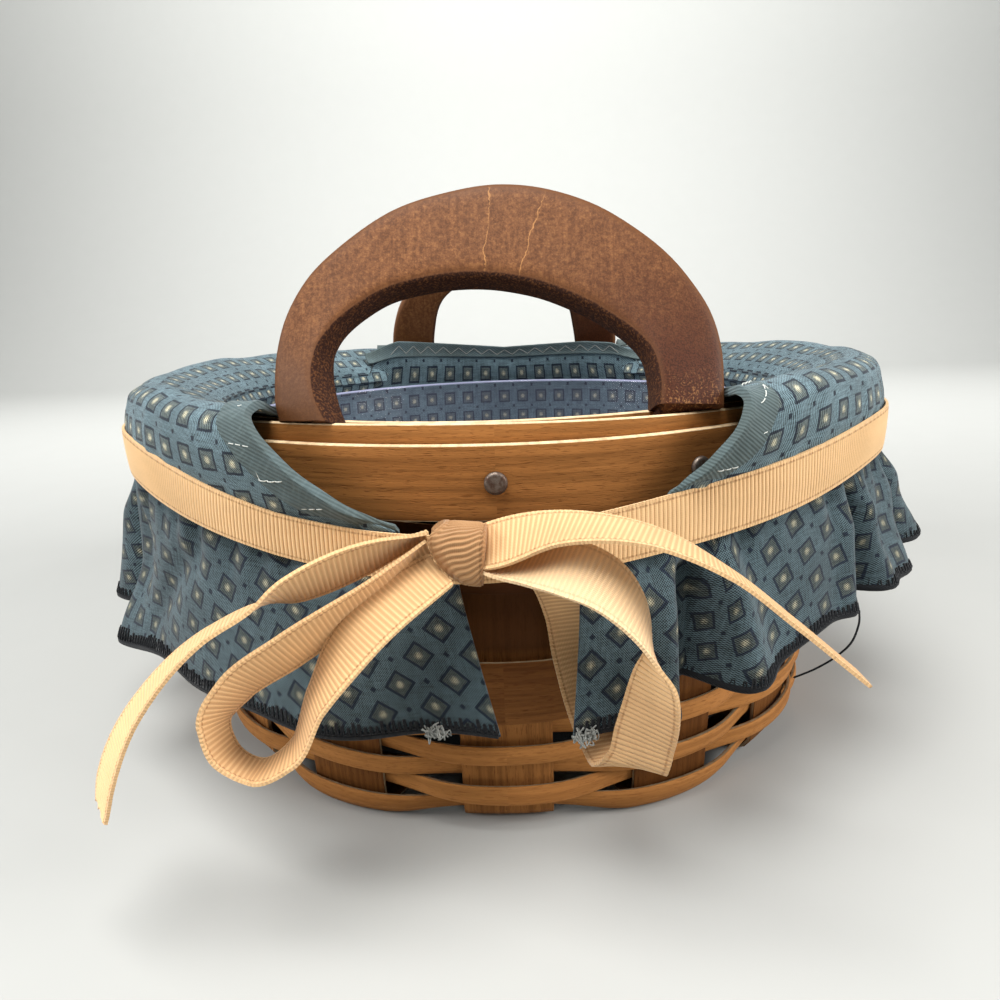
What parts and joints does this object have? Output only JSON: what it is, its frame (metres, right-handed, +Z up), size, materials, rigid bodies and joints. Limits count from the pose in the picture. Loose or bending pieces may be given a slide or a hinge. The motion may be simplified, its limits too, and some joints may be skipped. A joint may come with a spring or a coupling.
{
  "type": "button basket",
  "caption": "Low round woven splint basket with two leather handles, a printed cloth liner tied on with a ribbon bow, and a clear plastic insert.",
  "frame": {"origin": "middle of the basket's underside, on the table", "axes": "+Z up; -Y towards the front, where the bow is tied; +X to the right seen from the front"},
  "size_m": [0.2061, 0.215, 0.1262],
  "materials": {
    "maple": "satin honey stain",
    "tack_steel": "dull oxidised",
    "leather": "brown, smooth faces with raw cut edges",
    "print_cotton": "dusty blue cotton with a small square print",
    "twill": "grey-teal twill",
    "grosgrain": "ribbed tan ribbon",
    "clear_plastic": "clear gloss"
  },
  "bodies": {
    "basket": {"splint_1": "maple", "splint_2": "maple", "splint_3": "maple", "splint_4": "maple", "splint_5": "maple", "splint_6": "maple", "splint_7": "maple", "weaver_1": "maple", "weaver_2": "maple", "weaver_3": "maple", "weaver_4": "maple", "weaver_5": "maple", "weaver_6": "maple", "weaver_7": "maple", "weaver_8": "maple", "rim_trim_band": "maple", "rim_backing_strip": "maple", "rim_inner_band": "maple", "tack_front_centre": "tack_steel", "tack_front_right": "tack_steel", "tack_side_right": "tack_steel", "tack_rear_right": "tack_steel", "tack_rear_centre": "tack_steel", "tack_rear_left": "tack_steel", "tack_side_left": "tack_steel", "tack_front_left": "tack_steel", "front_handle_tab_a": "leather", "front_handle_tab_b": "leather", "rear_handle_tab_a": "leather", "rear_handle_tab_b": "leather", "liner_bowl": "print_cotton", "collar_left": "print_cotton", "collar_right": "print_cotton", "skirt_left": "print_cotton", "skirt_right": "print_cotton", "facing_front_left": "twill", "facing_front_right": "twill", "facing_rear_left": "twill", "facing_rear_right": "twill", "facing_rear_inner": "twill", "ribbon_band": "grosgrain", "bow_knot": "grosgrain", "bow_loop_left": "grosgrain", "bow_loop_right": "grosgrain", "bow_tail_left": "grosgrain", "bow_tail_right": "grosgrain", "clear_insert": "clear_plastic"},
    "front_handle": {"front_handle_arch": "leather"},
    "rear_handle": {"rear_handle_arch": "leather"}
  },
  "joints": [
    {"name": "front_handle_flex", "type": "hinge", "parent": "basket", "child": "front_handle", "pos_m": [0, -0.07346, 0.08635], "axis": [-1, 0, 0], "range_deg": [-30, 20], "stiffness_Nm_per_rad": 0.3},
    {"name": "rear_handle_flex", "type": "hinge", "parent": "basket", "child": "rear_handle", "pos_m": [0, 0.07346, 0.08635], "axis": [1, 0, 0], "range_deg": [-30, 20], "stiffness_Nm_per_rad": 0.3}
  ]
}
